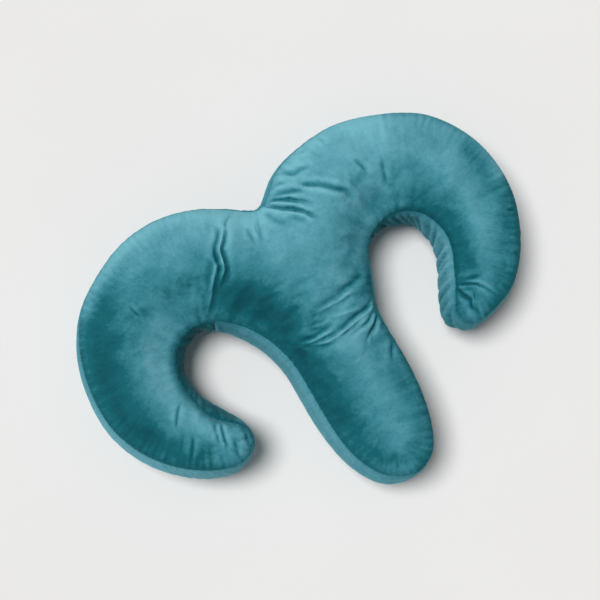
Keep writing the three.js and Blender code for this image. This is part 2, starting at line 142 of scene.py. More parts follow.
def through(points, closed=True, steps=12):
    """A smooth curve through the points (Catmull-Rom), a number of steps between each two."""
    count = len(points)
    last = count if closed else count - 1
    at = (lambda i: points[i % count]) if closed else (lambda i: points[min(max(i, 0), count - 1)])
    curve = []
    for i in range(last):
        p0, p1, p2, p3 = at(i - 1), at(i), at(i + 1), at(i + 2)
        for t in np.linspace(0, 1, steps, endpoint=False):
            bend = 2 * p0 - 5 * p1 + 4 * p2 - p3
            turn = 3 * p1 - p0 - 3 * p2 + p3
            curve.append(0.5 * (2 * p1 + (p2 - p0) * t + bend * t**2 + turn * t**3))
    curve.append(points[0] if closed else points[-1])
    return np.array(curve)


def evenly(curve, spacing, closed=True):
    """The same curve as evenly spaced points."""
    run = np.concatenate([[0], np.cumsum(np.linalg.norm(np.diff(curve, axis=0), axis=1))])
    count = max(2, int(round(run[-1] / spacing)))
    at = np.linspace(0, run[-1], count + (0 if closed else 1), endpoint=not closed)
    return np.stack([np.interp(at, run, curve[:, k]) for k in range(curve.shape[1])], 1)


def laid_out(points, spacing):
    """A smooth open path through points in millimetres, as evenly spaced points in metres."""
    return evenly(through(np.array(points) * MM, closed=False), spacing, closed=False)


def outward(loop):
    """The level directions that point out of the loop, at each of its points."""
    along = np.roll(loop, -1, 0) - np.roll(loop, 1, 0)
    normal = np.stack([along[:, 1], -along[:, 0]], 1)
    return normal / np.linalg.norm(normal, axis=1)[:, None]


def nearest_on(points, line, closed=True):
    """Each point's distance from the line, side (1 is left) and place along it, and the line's length."""
    a = line if closed else line[:-1]
    b = np.roll(line, -1, 0) if closed else line[1:]
    run = b - a
    squared = (run**2).sum(1)
    reach = np.concatenate([[0], np.cumsum(np.sqrt(squared))])
    gap, side, place = (np.empty(len(points)) for _ in range(3))
    chunk = 2000
    for start in range(0, len(points), chunk):
        part = slice(start, start + chunk)
        q = points[part, None, :] - a[None]
        t = np.clip((q * run[None]).sum(2) / squared[None], 0, 1)
        off = q - t[..., None] * run[None]
        distance = np.linalg.norm(off, axis=2)
        k = distance.argmin(1)
        row = np.arange(len(k))
        cross = run[k, 0] * q[row, k, 1] - run[k, 1] * q[row, k, 0]
        gap[part] = distance[row, k]
        side[part] = np.where(cross >= 0, 1.0, -1.0)
        place[part] = reach[k] + t[row, k] * np.sqrt(squared[k])
    return gap, side, place, reach[-1]


def inside(points, loop):
    """Which points the loop goes round: a line from each crosses it an odd number of times."""
    x, y = points[:, 0], points[:, 1]
    odd = np.zeros(len(points), bool)
    for (ax, ay), (bx, by) in zip(loop, np.roll(loop, -1, 0)):
        if ay != by:
            odd ^= ((ay > y) != (by > y)) & (x < (bx - ax) * (y - ay) / (by - ay) + ax)
    return odd


OUTLINE = through(seam_outline())
if np.cross(OUTLINE[:-1], OUTLINE[1:]).sum() < 0:
    OUTLINE = OUTLINE[::-1]
SEAM_SPACING = 4.2 * MM  # between the points that stand for the seam
SEAM = evenly(OUTLINE, SEAM_SPACING)
SEAM_OUT = outward(SEAM)
SEAM_LENGTH = nearest_on(SEAM[:1], SEAM)[3]


def seam_place(point):
    """How far along the seam a point in plan is."""
    return nearest_on(np.array([point]), SEAM)[2][0]


def along_seam(place, spot):
    """Signed distance along the seam from a spot, the short way round."""
    half = SEAM_LENGTH / 2
    return (place - spot + half) % SEAM_LENGTH - half


def bell(off, width):
    """1 at no distance, fading smoothly to nothing at about twice the width."""
    return np.exp(-((off / width) ** 2))


def near_spot(place, spot, reach):
    """1 at a spot on the seam, fading along it over the reach. Both are in millimetres."""
    return bell(along_seam(place, seam_place(np.array(spot) * MM)), reach * MM)


def zones(plan):
    """Which points lie on the front panel, the side strip and the back, by their level."""
    front, back = plan[:, 2] > 0.999, plan[:, 2] < 0.001
    return front, ~front & ~back, back


# -------- the skin's plan and its mesh
def zip_line(loop):
    """The centre-back seam, from the stem's end up the zip and on to the dip between the horns."""
    x, y = loop[:, 0], loop[:, 1]
    start = int(np.where(y > 0, np.inf, np.abs(x - ZIP_X)).argmin())
    end = int(np.where((np.abs(x) > 30 * MM) | (y < 0), np.inf, y).argmin())
    knots = [loop[start], [ZIP_X, loop[start][1] + 12 * MM], [ZIP_X, 0], [ZIP_X, SLOT_HIGH]]
    knots += [[ZIP_X, SLOT_HIGH + 8 * MM], loop[end]]
    spacing = np.linalg.norm(loop[1] - loop[0])
    line = []
    for a, b in zip(knots, knots[1:]):
        count = max(1, int(round(np.linalg.norm(np.subtract(b, a)) / spacing)))
        line += [np.add(a, np.subtract(b, a) * k / count) for k in range(count)]
    line.append(loop[end])
    return start, end, np.array(line)


def panel_points(loop, rows, grid):
    """Rows of points inside the seam, then a jittered hexagonal grid over the rest."""
    spacing = np.linalg.norm(loop[1] - loop[0])
    found = []
    for k, depth in enumerate(rows):
        base = loop if k % 2 else (loop + np.roll(loop, -1, 0)) / 2
        row = base - outward(base) * depth
        gap = nearest_on(row, loop)[0]
        row = row[(gap > 0.9 * depth) & inside(row, loop)]
        kept = [row[0]]
        for p in row[1:]:
            if np.linalg.norm(p - kept[-1]) > 0.72 * spacing:
                kept.append(p)
        found.append(np.array(kept))
    low, high = loop.min(0), loop.max(0)
    lattice = []
    for r, y in enumerate(np.arange(low[1], high[1], grid * math.sqrt(0.75))):
        xs = np.arange(low[0] + (r % 2) * grid / 2, high[0], grid)
        lattice.append(np.stack([xs, np.full(len(xs), y)], 1))
    lattice = np.concatenate(lattice)
    lattice += np.random.default_rng(4).uniform(-0.12, 0.12, lattice.shape) * grid
    lattice = lattice[inside(lattice, loop)]
    gap = nearest_on(lattice, loop)[0]
    return np.concatenate(found), lattice[gap > rows[-1] + 0.75 * grid]


def triangulated(loop, inner, across=None):
    """Delaunay triangles within the loop, keeping its edges and those of a line that runs across it."""
    count = len(loop)
    points = [*loop, *inner]
    edges = [(i, (i + 1) % count) for i in range(count)]
    if across is not None:
        start, end, line = across
        chain = [start, *range(len(points), len(points) + len(line) - 2), end]
        points += list(line[1:-1])
        edges += list(zip(chain, chain[1:]))
    only_inside, tolerance = 1, 1e-9
    made = delaunay_2d_cdt([Vector(p) for p in points], edges, [], only_inside, tolerance)
    flat = np.array([[v.x, v.y] for v in made[0]])
    triangles = np.array([list(f) for f in made[2]])
    a, b, c = (flat[triangles[:, k]] for k in range(3))
    clockwise = np.cross(b - a, c - a) < 0
    triangles[clockwise] = triangles[clockwise][:, ::-1]
    return flat, triangles


def back_points(loop, line, row_points, lattice, clear_of_seam):
    """The back panel's points: rows along the centre seam, and the panel's own points away from it."""
    offsets = [side * across * MM for across in (1.6, 4.2, 8.4, 13) for side in (-1, 1)]
    beside = np.concatenate([line[3:-3] + np.array([offset, 0]) for offset in offsets])
    beside = beside[nearest_on(beside, loop)[0] > clear_of_seam]
    clear = [p[nearest_on(p, line, closed=False)[0] > away]
             for p, away in ((row_points, 2.5 * MM), (lattice, 15 * MM))]
    return np.concatenate([*clear, beside])


def strip_faces(rings):
    """Triangles between each ring of points and the next, with diagonals that alternate."""
    faces = []
    for r, (upper, lower) in enumerate(zip(rings, rings[1:])):
        up, low = np.roll(upper, -1), np.roll(lower, -1)
        lean = ((np.arange(len(upper)) + r) % 2 == 0)[:, None]
        faces.append(np.where(lean, np.c_[upper, lower, up], np.c_[upper, lower, low]))
        faces.append(np.where(lean, np.c_[up, lower, low], np.c_[upper, low, up]))
    return faces


def closed_skin(spacing, rows, grid, side_levels, creased=False):
    """The closed skin: its plan positions with a level (1 front, 0 back), its faces and their labels."""
    loop = evenly(OUTLINE, spacing)
    count = len(loop)
    row_points, lattice = panel_points(loop, rows, grid)
    inner = np.concatenate([row_points, lattice])
    if creased:
        inner = with_crease_points(inner, loop)
    front, front_faces = triangulated(loop, inner)
    start, end, line = zip_line(loop)
    inner = back_points(loop, line, row_points, lattice, rows[-1])
    back, back_faces = triangulated(loop, inner, (start, end, line))
    middle = back[back_faces].mean(1)
    is_left = middle[:, 0] < np.interp(middle[:, 1], line[:, 1], line[:, 0])

    plans = [np.c_[front, np.ones(len(front))], np.c_[back, np.zeros(len(back))]]
    rings = [np.arange(count)]
    total = len(front) + len(back)
    for level in side_levels[1:-1]:
        plans.append(np.c_[loop, np.full(count, level)])
        rings.append(total + np.arange(count))
        total += count
    rings.append(len(front) + np.arange(count))

    place = nearest_on((loop + np.roll(loop, -1, 0)) / 2, SEAM)[2]
    outer, crook = seam_place(OUTER_JOIN), seam_place(CROOK_JOIN)
    is_long = (place - outer) % SEAM_LENGTH < (crook - outer) % SEAM_LENGTH
    between = strip_faces(rings)
    faces = [front_faces, back_faces[:, ::-1] + len(front), *between]
    labels = [np.full(len(front_faces), FRONT), np.where(is_left, BACK_LEFT, BACK_RIGHT)]
    labels += [np.where(is_long, SIDE_LONG, SIDE_SHORT)] * len(between)
    return np.concatenate(plans), np.concatenate(faces), np.concatenate(labels)


# -------- the cushion's smooth shape
def eased(t):
    """0 below 0 and 1 above 1, with a smooth step between."""
    t = np.clip(t, 0, 1)
    return t * t * (3 - 2 * t)


def zip_groove(plan, depth, full_to, clear):
    """Depth of the groove round the zip: full up to a distance from its line, and short of its ends."""
    across = eased((ZIP_EASE - np.abs(plan[:, 0] - ZIP_X)) / (ZIP_EASE - full_to))
    low = eased((plan[:, 1] - (ZIP_LOW - ZIP_EASE + clear)) / (13 * MM))
    high = eased((ZIP_HIGH + ZIP_EASE - clear - plan[:, 1]) / (13 * MM))
    return depth * across * low * high


def lean(plan, gap, normal, place):
    """How far the front seam's lean carries each point out, and what is left of the strip's swelling."""
    out, kept = np.zeros(len(plan)), np.ones(len(plan))
    for heading, amount, taken in LEANS:
        facing = np.clip(normal @ heading, 0, 1)
        out += amount * facing
        kept -= taken * facing
    for spot, reach, shift, gained in PULLS:
        here = near_spot(place, spot, reach)
        out += shift * MM * here
        kept += gained * here
    front, _, _ = zones(plan)
    fade = np.where(front, (1 - np.minimum(1, gap / LEVEL_FROM)) ** 2, plan[:, 2])
    return out * fade, kept


def slope_down(gap, level_from, depth):
    """How near each point is to the level part, 0 to 1, and its height lost for the depth."""
    near = np.minimum(1, gap / level_from)
    return near, depth * (1 + (SLANT - 1) * (1 - near))


def smooth_shape(plan, depth=0.0, groove=COVER_GROOVE):
    """Where each point of the skin lies before any fold, at a depth below the cover's outside."""
    flat, level = plan[:, :2], plan[:, 2]
    front, side, back = zones(plan)
    gap, _, place, _ = nearest_on(flat, SEAM)
    step = place / SEAM_LENGTH * len(SEAM)
    normal = np.stack([np.interp(step, np.arange(len(SEAM) + 1), np.r_[SEAM_OUT[:, k], SEAM_OUT[0, k]])
                       for k in range(2)], 1)
    shape = np.c_[flat, np.zeros(len(flat))]

    leaning, kept_swelling = lean(plan, gap, normal, place)
    shape[:, :2] += normal * leaning[:, None]
    near, slope = slope_down(gap, LEVEL_FROM, depth)
    shape[front, 2] = (SEAM_HIGH + FRONT_RISE * (1 - (1 - near) ** 2.2) - slope)[front]
    near, slope = slope_down(gap, FLAT_FROM, depth)
    if depth:
        dip = zip_groove(flat, groove - depth, 13 * MM, 0)
    else:
        dip = zip_groove(flat, groove, 8 * MM, 3 * MM)
    shape[back, 2] = (SEAM_LOW * (1 - near) ** 2 + slope + dip)[back]

    swell = SIDE_BULGE * (1 - (2 * level - 1) ** 2)
    slant = SLANT - (SLANT - 1) * swell / SIDE_BULGE
    on_edge = side | (gap < 1e-6)
    shape[on_edge, :2] += (normal * (swell * kept_swelling - slant * depth)[:, None])[on_edge]
    shape[on_edge, 2] = (SEAM_LOW + SIDE_HEIGHT * level)[on_edge]
    return shape, gap, normal, place


def edges_of(faces):
    """Every edge of the faces once, as pairs of points."""
    pairs = np.concatenate([faces[:, [k - 1, k]] for k in range(faces.shape[1])])
    return np.unique(np.sort(pairs, axis=1), axis=0)


def averaged(values, edges, rounds, weight=1.0):
    """Values spread over the mesh: each point takes its neighbours' average, a number of times."""
    count = len(values)
    a, b = edges[:, 0], edges[:, 1]
    degree = np.bincount(a, minlength=count) + np.bincount(b, minlength=count)
    for _ in range(rounds):
        near = np.stack([np.bincount(a, values[b, k], count) + np.bincount(b, values[a, k], count)
                         for k in range(values.shape[1])], 1) / degree[:, None]
        values = values + weight * (near - values)
    return values


def vertex_normals(points, faces):
    """The points' normals, each face counting for its area."""
    total = np.zeros_like(points)
    for k in range(1, faces.shape[1] - 1):
        a, b, c = points[faces[:, 0]], points[faces[:, k]], points[faces[:, k + 1]]
        normal = np.cross(b - a, c - a)
        for corner in (0, k, k + 1):
            for axis in range(3):
                total[:, axis] += np.bincount(faces[:, corner], normal[:, axis], len(points))
    return total / np.maximum(np.linalg.norm(total, axis=1), 1e-12)[:, None]


def levelled(shape, plan, gap, edges, rounds):
    """The same shape with the front's ridge rounded off, where its two slopes meet."""
    inner = eased((gap - 14 * MM) / (20 * MM)) * zones(plan)[0]
    shape[:, 2:] = averaged(shape[:, 2:], edges, rounds, inner[:, None])
    return shape


# -------- meshes and objects
def new_object(name, data):
    obj = bpy.data.objects.new(name, data)
    bpy.context.scene.collection.objects.link(obj)
    return obj


def new_mesh_object(name, points, faces):
    mesh = bpy.data.meshes.new(name)
    mesh.from_pydata(np.asarray(points).tolist(), [], faces)
    mesh.update()
    mesh.polygons.foreach_set("use_smooth", np.ones(len(mesh.polygons), bool))
    return new_object(name, mesh)


def set_attribute(mesh, name, kind, values):
    field = "vector" if kind == "FLOAT_VECTOR" else "value"
    mesh.attributes.new(name, kind, "POINT").data.foreach_set(field, np.asarray(values, np.float32).ravel())


def vectors(rows, field="co"):
    """A vector of each vertex, or of each row of an attribute."""
    values = np.empty(len(rows) * 3, np.float32)
    rows.foreach_get(field, values)
    return values.reshape(-1, 3).astype(float)


def modified(obj, kind, **settings):
    """Applies one modifier, so that the object keeps only the mesh it gives."""
    modifier = obj.modifiers.new("change", kind)
    for name, value in settings.items():
        setattr(modifier, name, value)
    evaluated = obj.evaluated_get(bpy.context.evaluated_depsgraph_get())
    mesh = bpy.data.meshes.new_from_object(evaluated)
    obj.modifiers.clear()
    old = obj.data
    obj.data = mesh
    mesh.name = obj.name
    bpy.data.meshes.remove(old)


def subdivided(obj):
    modified(obj, "SUBSURF", levels=1, render_levels=1)


def removed(obj):
    data = obj.data
    bpy.data.objects.remove(obj)
    bpy.data.meshes.remove(data)


def placed(obj, node, material):
    """Dresses a piece of the cushion and has it stand in for its CAD piece."""
    obj.data.materials.clear()
    obj.data.materials.append(material)
    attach(obj, "cushion")
    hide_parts(node)


# -------- inflating the skin as cloth
SEAM_ALLOWANCE = 5.0 * MM  # how much larger the panels are cut than they finish up
START_RISE = 0.35  # how much of the domed shape the skin has before it is filled
START_STRETCH = 1.08  # how much taller than the cushion it starts
SIM_FRAMES = 26
CLOTH = {
    "quality": 6,
    "mass": 0.15,
    "tension_stiffness": 40,
    "compression_stiffness": 40,
    "shear_stiffness": 30,
    "bending_stiffness": 1.0,
    "use_pressure": True,
    "uniform_pressure_force": 4,
}


def cut_pattern(shape, gap, normal, place, plan):
    """The skin before filling: panels cut larger and nearly flat, joined by a straight side strip."""
    spare = np.clip(1 - gap / LEVEL_FROM, 0, 1) * SEAM_ALLOWANCE + lean(plan, gap, normal, place)[0]
    pattern = shape.copy()
    pattern[:, :2] = plan[:, :2] + normal * spare[:, None]
    front, _, back = zones(plan)
    for panel, seam in ((front, SEAM_HIGH), (back, SEAM_LOW)):
        pattern[panel, 2] = seam + (shape[panel, 2] - seam) * START_RISE
    pattern[:, 2] = SEAM_LOW + (pattern[:, 2] - SEAM_LOW) * START_STRETCH
    return pattern


def inflated(pattern, faces):
    """Fills the pattern under pressure with Blender's Cloth and returns where its points end up."""
    obj = new_mesh_object("inflating", pattern, faces.tolist())
    cloth = obj.modifiers.new("cloth", "CLOTH")
    for name, value in CLOTH.items():
        setattr(cloth.settings, name, value)
    cloth.settings.effector_weights.gravity = 0
    cloth.collision_settings.use_collision = False
    cloth.collision_settings.use_self_collision = False
    cloth.point_cache.frame_start = 1
    cloth.point_cache.frame_end = SIM_FRAMES
    scene = bpy.context.scene
    for number in range(1, SIM_FRAMES + 1):
        scene.frame_set(number)
    evaluated = obj.evaluated_get(bpy.context.evaluated_depsgraph_get())
    result = vectors(evaluated.to_mesh().vertices)
    evaluated.to_mesh_clear()
    removed(obj)
    scene.frame_set(1)
    return result


def cloth_detail(shape, gap, normal, place, plan, faces, edges):
    """The folds that filling leaves, as heights over the smooth shape. Wider swellings are left out."""
    filled = inflated(cut_pattern(shape, gap, normal, place, plan), faces)
    drift = filled - shape
    drift -= averaged(drift, edges, rounds=110)
    height = (drift * vertex_normals(shape, faces)).sum(1)
    limit = 4 * MM
    return limit * np.tanh(height / limit)


# -------- folds, puckers and lumps
# Creases on the front panel, as points in plan in millimetres, with the crease's half width and depth, and
# the height of the swelling to its left and to its right. A ridge has the signs of all three turned.
CREASES = [
    # the buckle fold left of the centre: an S-shaped ridge between two valleys, then a long soft ridge
    ([(-20, 149), (-28, 142), (-36, 140), (-43, 133), (-50, 124)], 3.0, 1.6, 0.5, 1.0),
    ([(-44, 133), (-53, 122), (-59, 115), (-61, 104), (-64, 94), (-70, 88), (-76, 82)],
     2.5, -2.6, -2.2, -2.2),
    ([(-64, 106), (-73, 96), (-81, 86), (-87, 77), (-95, 68), (-104, 58)], 3.2, -1.3, -1.2, -0.2),
    # folds that fan out from the dip between the horns
    ([(0, 143), (7, 139), (17, 138), (29, 133), (40, 125), (51, 115)], 2.7, 3.6, 0.9, 0.9),
    ([(2, 141), (11, 134), (20, 127), (30, 120), (40, 110), (49, 97)], 2.7, 4.4, 1.0, 1.4),
    ([(19, 142), (32, 139), (44, 134), (51, 127)], 3.2, 2.4, 0.7, 0.7),
    ([(49, 139), (65, 130), (77, 119), (86, 112), (90, 103)], 3.6, 3.6, 0.8, 1.3),
    ([(39, 158), (49, 152), (58, 153), (70, 150)], 3.2, 2.2, 0.7, 0.6),
    ([(57, 173), (67, 168), (76, 168)], 2.4, 1.5, 0.5, 0.4),
    ([(20, 151), (29, 150), (40, 146)], 2.3, 1.1, 0.5, 0.4),
    ([(4, 129), (10, 118), (18, 107)], 4.4, 1.7, 0.7, 0.5),
    ([(26, 113), (38, 102)], 4.0, 0.8, 0.4, 0.4),
    ([(109, 138), (114, 127), (115, 114)], 3.0, 1.0, 0.4, 0.3),
    ([(134, 122), (131, 109), (129, 97)], 3.0, 1.0, 0.4, 0.3),
    ([(86, 176), (94, 168)], 2.2, 0.9, 0.3, 0.3),
    ([(-22, 124), (-22.5, 116), (-22, 104)], 3.0, 0.8, 0.4, 0.3),
    ([(-8, 127), (-12, 112), (-17, 95)], 3.4, 0.7, 0.4, 0.3),
    # the right horn's tip, gathered at the inner seam
    ([(140, -22), (146, -36), (152, -49), (158, -62)], 3.0, 2.8, 0.8, 0.9),
    ([(141, -22), (156, -29), (170, -38), (178, -50), (181, -56)], 2.1, 1.8, 1.1, 0.4),
    ([(142, -20), (158, -25), (178, -29)], 3.4, 1.2, 0.7, 0.4),
    ([(229, 22), (236, 19)], 2.2, 1.3, 0.3, 0.3),
    ([(216, -20), (222, -24)], 2.2, 1.3, 0.3, 0.3),
    # the left horn's tip, and its creases
    ([(-120, -58), (-121, -68), (-123, -78), (-126, -87)], 2.2, 2.0, 0.6, 0.4),
    ([(-133, -44), (-137, -57), (-143, -74)], 2.2, 1.6, 0.5, 0.3),
    ([(-138, -40), (-142, -54), (-147, -66)], 2.4, 0.9, 0.4, 0.3),
    ([(-131, -66), (-137, -84)], 2.6, 0.9, 0.3, 0.3),
    ([(-166, -44), (-174, -57), (-183, -70)], 3.2, 1.1, 0.5, 0.4),
    ([(-164, -9), (-171, -20), (-179, -31)], 3.0, 1.0, 0.4, 0.4),
    ([(-167, 103), (-164, 94), (-160, 85)], 2.0, 0.7, 0.3, 0.3),
    # wrinkles over the top of the stem, drawn towards the right crook
    ([(57, -1), (50, -8), (43, -11), (30, -14), (18, -17), (7, -19), (-8, -18), (-24, -13)],
     2.5, -2.0, -0.4, -1.8),
    ([(8, -11), (-4, -12), (-15, -12), (-30, -8)], 2.3, -1.3, -0.3, -1.1),
    ([(52, -12), (44, -19), (34, -21), (18, -25)], 2.8, 1.5, 0.8, 0.6),
    ([(57, -12), (51, -22), (45, -28), (35, -35)], 2.6, 3.0, 1.1, 1.0),
    ([(42, 18), (29, 14), (18, 13), (-2, 13)], 3.0, -1.0, -0.2, -0.9),
    ([(42, -2), (29, -1), (14, 1)], 3.0, -0.8, -0.6, -0.6),
    ([(12, 0), (2, -1), (-10, 1)], 2.6, -0.8, -0.9, -0.2),
    ([(60, 32), (44, 25), (26, 23)], 4.4, 0.9, 0.6, 0.5),
    ([(60, -44), (54, -54), (47, -68)], 3.0, 1.2, 0.5, 0.5),
]
DEEPEST = 6 * MM  # where folds cross
CREASE_SPACING = 3.4 * MM  # between the mesh's points along a crease
CLOSEST = 1.35 * MM  # two points of different creases
CREASE_MARGIN = 2.4 * MM  # between a crease's points and the seam's or the panel's own


def with_crease_points(inner, loop):
    """Points along every crease and beside it, in place of the panel's own points there."""
    made = []
    for across in (0, 0.55, 1.15, 2.1):  # in half widths of the crease
        for points, width, *_ in CREASES:
            path = laid_out(points, CREASE_SPACING)
            ahead = np.gradient(path, axis=0)
            ahead /= np.linalg.norm(ahead, axis=1)[:, None]
            sideways = np.stack([-ahead[:, 1], ahead[:, 0]], 1) * across * width * MM
            made += [path + sideways, path - sideways] if across else [path]
    made = np.concatenate(made)
    clear_of_seam = nearest_on(made, loop)[0] > CREASE_MARGIN
    made = made[clear_of_seam & inside(made, loop)]
    kept = made[:1]
    for point in made[1:]:
        if ((kept - point) ** 2).sum(1).min() > CLOSEST**2:
            kept = np.vstack([kept, point])
    gap = [np.sqrt(((kept - point) ** 2).sum(1).min()) for point in inner]
    return np.concatenate([kept, inner[np.array(gap) > CREASE_MARGIN]])


def creases(plan):
    """Heights of the listed creases at points of the front panel."""
    height = np.zeros(len(plan))
    for points, width, depth, rise_left, rise_right in CREASES:
        path = laid_out(points, CREASE_SPACING)
        low, high = path.min(0) - 30 * MM, path.max(0) + 30 * MM
        here = np.nonzero(((plan > low) & (plan < high)).all(1))[0]
        gap, side, place, length = nearest_on(plan[here], path, closed=False)
        off = gap * side / (0.8 * width * MM)
        fade = eased(place / (0.25 * length) + 0.35) * eased((length - place) / (0.5 * length) + 0.1)
        valley = -depth * np.exp(-1.2 * np.abs(off) ** 1.5)
        rises = rise_left * bell(off - 2, 1.3) + rise_right * bell(off + 2, 1.3)
        past_end = (place < 1e-9) | (place > length - 1e-9)
        fade[past_end] *= bell(gap[past_end], 2 * width * MM)
        height[here] += fade * (valley + rises) * MM
    return np.where(height < 0, DEEPEST * np.tanh(height / DEEPEST), height)


def ripple(place, pitch, seed):
    """An uneven wave along the closed seam, about -1 to 1, its crests about a pitch apart."""
    random = np.random.default_rng(seed)
    waves = SEAM_LENGTH / pitch
    total = np.zeros(len(place))
    parts = 7
    for _ in range(parts):
        turns = round(waves * random.uniform(0.6, 1.45))
        total += np.cos(2 * math.pi * (turns * place / SEAM_LENGTH + random.uniform()))
    return total / math.sqrt(parts)


def lumps(points, size, seed):
    """An uneven surface, about -1 to 1, with swellings about a size apart."""
    random = np.random.default_rng(seed)
    total = np.zeros(len(points))
    parts = 14
    for _ in range(parts):
        heading = random.uniform(0, 2 * math.pi)
        step = 2 * math.pi / (size * random.uniform(0.75, 1.5))
        across = points[:, 0] * math.cos(heading) + points[:, 1] * math.sin(heading)
        total += np.cos(step * across + random.uniform(0, 2 * math.pi))
    return total / math.sqrt(parts)


# Where the seams are gathered: a place in plan in millimetres, how far it reaches along the seam, and how
# strongly it puckers the front panel and the side strip there.
GATHERS = [
    ((-4, 143), 40, 0.35, 0.4),
    ((50, 162), 40, 0.35, 0.2),
    ((112, 60), 40, 0.1, 1.2),
    ((148, 20), 60, 0.2, 2.2),
    ((130, -56), 30, 0.4, 1.8),
    ((66, -14), 40, 0.5, 0.3),
    ((66, -100), 70, 0.2, 0.3),
    ((20, -180), 50, 0.1, 0.3),
    ((-113, -60), 30, 0.2, 0.3),
    ((-140, -88), 60, 0.25, 0.3),
    ((-145, 15), 40, 0.1, 0.7),
    ((-118, 50), 35, 0.1, 0.9),
    ((-235, -40), 90, 0.2, 0.2),
    ((240, 60), 110, 0.35, 0.2),
]


def gathered(place, which):
    """How strongly the front panel (0) or the side strip (1) puckers, a little everywhere."""
    return 0.27 + sum(row[2 + which] * near_spot(place, *row[:2]) for row in GATHERS)


def slanted(plan, place):
    """Place along the seam, taken at a slant across the side strip, as its gathers lie."""
    return place + np.where(zones(plan)[1], plan[:, 2] - 1, 0) * 26 * MM


def seam_detail(plan, gap, place):
    """The sewn edge: a shallow valley at each seam, full shoulders beside it, and puckers into it."""
    level = plan[:, 2]
    front, side, back = zones(plan)
    upper = np.where(side, (1 - level) * SIDE_HEIGHT, gap)
    lower = np.where(side, level * SIDE_HEIGHT, gap)
    amount = np.where(side, np.minimum(gathered(place, 1), 0.7), gathered(place, 0))
    amount[back] *= 0.6
    along = slanted(plan, place)
    height = np.zeros(len(plan))
    for across, here, seed in ((upper, ~back, 21), (lower, ~front, 33)):
        pucker = np.zeros(len(plan))
        for pitch, run, size, extra in ((10, 8, 0.6, 0), (17, 22, 0.5, 1)):
            wave = ripple(along, pitch * MM, seed + extra)
            pucker += size * wave * np.exp(-across / (run * MM)) * np.minimum(1, across / (3 * MM))
        sewn = 0.5 * bell(across - 7 * MM, 4 * MM) - 0.45 * bell(across, 3 * MM)
        height += np.where(here, sewn + amount * pucker, 0)
    return height * MM


def side_detail(plan, place):
    """The side strip's gathers, which run across it at a slant, and the seams that join its lengths."""
    across = np.sin(math.pi * np.clip(plan[:, 2], 0, 1))
    slant = slanted(plan, place)
    wave = 0.8 * ripple(slant, 12 * MM, 51) + 0.4 * ripple(slant, 21 * MM, 52)
    strength = np.maximum(0, gathered(place, 1) - 0.4)
    height = 1.35 * strength * np.tanh(1.2 * wave) * across**0.6
    for join in (CROOK_JOIN, OUTER_JOIN):
        off = along_seam(place, seam_place(join)) / MM
        height += across**0.4 * (0.9 * bell(np.abs(off) - 5.5, 3.5) - 1.6 * bell(off, 2.2))
    return np.where(zones(plan)[1], height, 0) * MM


def back_seam_detail(plan):
    """The centre-back seam above and below the zip, and the stitched edges along it."""
    _, _, line = zip_line(SEAM)
    off = np.abs(plan[:, 0] - np.interp(plan[:, 1], line[:, 1], line[:, 0]))
    sewn = 1 - eased((plan[:, 1] - SLOT_LOW) / (4 * MM)) * eased((SLOT_HIGH - plan[:, 1]) / (4 * MM))
    valley = -1.2 * sewn * bell(off, 1.8 * MM)
    stitched = -0.35 * bell(off - 10 * MM, 1.2 * MM) * (1 - sewn)
    return (valley + stitched) * MM


# -------- the cover
def cover_skin():
    """The whole cover as one fine closed skin: points, faces, labels and plan."""
    down = np.array([0, 1.6, 4, 8, 13, 19, 25, 31, 37, 42, 46, 48.4, 50])
    rows = np.array([1.5, 4, 8, 12.4]) * MM
    plan, faces, labels = closed_skin(SEAM_SPACING, rows, 4.5 * MM, 1 - down / 50, creased=True)
    shape, gap, normal, place = smooth_shape(plan)
    edges = edges_of(faces)
    shape = levelled(shape, plan, gap, edges, rounds=30)

    front, _, back = zones(plan)
    gain = np.where(front, 0.75, np.where(back, 0.25, 0.6))
    detail = gain * cloth_detail(shape, gap, normal, place, plan, faces, edges)
    uneven = 0.9 * lumps(plan[:, :2], 75 * MM, 5) + 0.45 * lumps(plan[:, :2], 32 * MM, 6)
    detail += np.where(front, uneven * eased(gap / (20 * MM)), 0) * MM
    points = shape + vertex_normals(shape, faces) * detail[:, None]

    obj = new_mesh_object("skin", points, faces.tolist())
    for _ in COVER_PIECES:
        obj.data.materials.append(None)
    obj.data.polygons.foreach_set("material_index", labels.astype(np.int32))
    set_attribute(obj.data, "plan", "FLOAT_VECTOR", plan)
    subdivided(obj)
    mesh = obj.data
    points, plan = vectors(mesh.vertices), vectors(mesh.attributes["plan"].data, "vector")
    faces = np.array([list(f.vertices) for f in mesh.polygons])
    labels = np.array([f.material_index for f in mesh.polygons])
    removed(obj)
    return points, faces, labels, plan


def creased_skin(points, faces, plan):
    """Adds seams, puckers and creases to the fine skin, and rests its back on the floor."""
    gap, _, place, _ = nearest_on(plan[:, :2], SEAM)
    front, _, back = zones(plan)
    height = seam_detail(plan, gap, place) + side_detail(plan, place)
    beside_seam = 0.3 + 0.7 * eased(gap / (7 * MM))  # how much of a crease is left as it nears the seam
    height += np.where(front, creases(plan[:, :2]) * beside_seam, 0)
    height += np.where(back, back_seam_detail(plan), 0)
    moved = points + vertex_normals(points, faces) * height[:, None]
    moved[:, 2] = np.maximum(moved[:, 2], 0.05 * MM)
    return moved, gap, place
